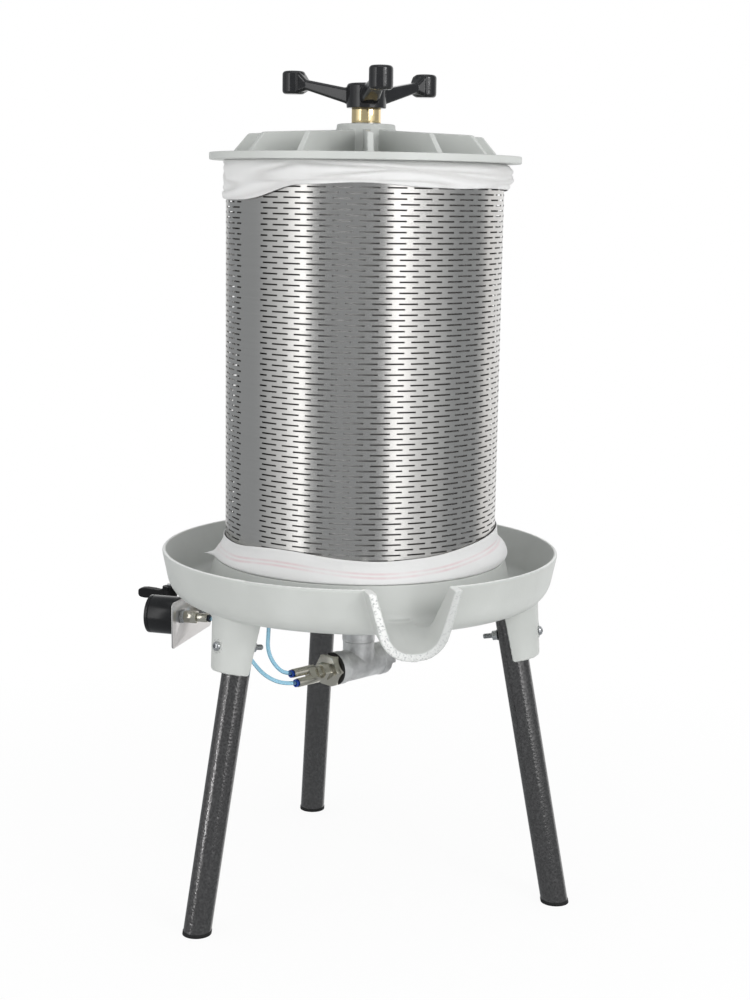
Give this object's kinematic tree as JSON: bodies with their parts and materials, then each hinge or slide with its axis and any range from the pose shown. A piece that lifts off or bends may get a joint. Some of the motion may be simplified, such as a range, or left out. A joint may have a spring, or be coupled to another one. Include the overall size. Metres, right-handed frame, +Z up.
{
  "type": "pneumatic fruit press",
  "caption": "Compressed-air fruit press: slotted steel basket with a cloth bag and rubber bladder on a cast tray with a spout and splayed legs, ribbed lid, screw handle, gauge and lever valve.",
  "frame": {"origin": "on the floor, on the press axis, midway between the three feet", "axes": "+Z up along the post, -Y towards the spout, the control panel on the -X side"},
  "size_m": [0.6056, 0.644, 1.2117],
  "materials": {
    "tray_paint": "satin pale grey paint on an aluminium casting",
    "leg_paint": "dark hammered paint",
    "stainless": "bright rolled stainless steel",
    "fastener": "zinc plated steel",
    "post_steel": "galvanised pipe",
    "brass": "turned brass",
    "nickel_brass": "nickel plated brass",
    "tee_iron": "galvanised malleable iron",
    "black_plastic": "moulded glossy black plastic",
    "cap_plastic": "matt black plastic",
    "blue_plastic": "moulded blue plastic",
    "tube_plastic": "translucent blue tube",
    "rubber": "black rubber",
    "bag_cloth": "white woven filter cloth",
    "glass": "clear window",
    "dial_white": "white printed dial",
    "pointer_black": "matt black"
  },
  "bodies": {
    "stand": {"juice_tray": "tray_paint", "leg_front_left": "leg_paint", "leg_front_right": "leg_paint", "leg_rear": "leg_paint", "control_panel": "stainless", "bladder_clamp_lower": "stainless", "bladder_clamp_upper": "stainless", "leg_bolts": "fastener", "leg_washers": "fastener", "leg_nuts": "fastener", "panel_screws": "fastener", "gauge_lock_nut": "fastener", "valve_lock_nut": "fastener", "post_lock_nut": "fastener", "post": "post_steel", "bourdon_tube": "brass", "gauge_movement": "brass", "gauge_stem": "brass", "reducer_bushing": "nickel_brass", "y_fitting": "nickel_brass", "gauge_adapter": "nickel_brass", "gauge_push_in": "nickel_brass", "valve_adapter": "nickel_brass", "valve_push_in": "nickel_brass", "valve_bulkhead": "nickel_brass", "valve_body": "nickel_brass", "pipe_tee": "tee_iron", "tee_plug": "tee_iron", "gauge_case": "black_plastic", "gauge_bezel": "black_plastic", "foot_cap_front_left": "cap_plastic", "foot_cap_front_right": "cap_plastic", "foot_cap_rear": "cap_plastic", "air_tube_valve": "tube_plastic", "air_tube_gauge": "tube_plastic", "bladder": "rubber", "post_seal": "rubber", "reducer_seal": "rubber", "gauge_lens": "glass", "gauge_dial": "dial_white"},
    "basket": {"basket_shell": "stainless", "press_bag": "bag_cloth"},
    "lid": {"lid": "tray_paint"},
    "thrust_washer": {"thrust_washer": "fastener"},
    "handle": {"handle": "black_plastic", "brass_nut": "brass"},
    "lever": {"valve_lever": "black_plastic", "valve_stem": "nickel_brass", "valve_ball": "nickel_brass", "lever_nut": "fastener"},
    "pointer": {"gauge_pointer": "pointer_black"},
    "ring_upper": {"release_ring_upper": "blue_plastic"},
    "ring_lower": {"release_ring_lower": "blue_plastic"},
    "ring_gauge": {"release_ring_gauge": "blue_plastic"},
    "ring_valve": {"release_ring_valve": "blue_plastic"}
  },
  "joints": [
    {"name": "basket_lift", "type": "slide", "parent": "stand", "child": "basket", "axis": [0, 0, 1], "range_m": [0, 0.7]},
    {"name": "lid_lift", "type": "slide", "parent": "basket", "child": "lid", "axis": [0, 0, 1], "range_m": [0, 0.12]},
    {"name": "nut_climb", "type": "slide", "parent": "lid", "child": "thrust_washer", "axis": [0, 0, 1], "range_m": [0, 0.042]},
    {"name": "handle_turn", "type": "hinge", "parent": "thrust_washer", "child": "handle", "pos_m": [0, 0, 1.14], "axis": [0, 0, 1], "range_deg": [0, 2520]},
    {"name": "lever_turn", "type": "hinge", "parent": "stand", "child": "lever", "pos_m": [-0.25646, 0.2058, 0.388], "axis": [0, 0, -1], "range_deg": [0, 90]},
    {"name": "pointer_turn", "type": "hinge", "parent": "stand", "child": "pointer", "pos_m": [-0.25633, 0.09603, 0.402], "axis": [0.866, -0.5, 0], "range_deg": [0, 270], "stiffness_Nm_per_rad": 0.0005},
    {"name": "ring_upper_push", "type": "slide", "parent": "stand", "child": "ring_upper", "axis": [0.866, 0.5, 0], "range_m": [0, 0.0015], "stiffness_N_per_m": 300},
    {"name": "ring_lower_push", "type": "slide", "parent": "stand", "child": "ring_lower", "axis": [0.866, 0.5, 0], "range_m": [0, 0.0015], "stiffness_N_per_m": 300},
    {"name": "ring_gauge_push", "type": "slide", "parent": "stand", "child": "ring_gauge", "axis": [-0.866, 0.5, 0], "range_m": [0, 0.0015], "stiffness_N_per_m": 300},
    {"name": "ring_valve_push", "type": "slide", "parent": "stand", "child": "ring_valve", "axis": [-0.866, 0.5, 0], "range_m": [0, 0.0015], "stiffness_N_per_m": 300}
  ],
  "couplings": [
    {"joint": "nut_climb", "follows": "handle_turn", "m_per_rad": 0.00095493}
  ]
}
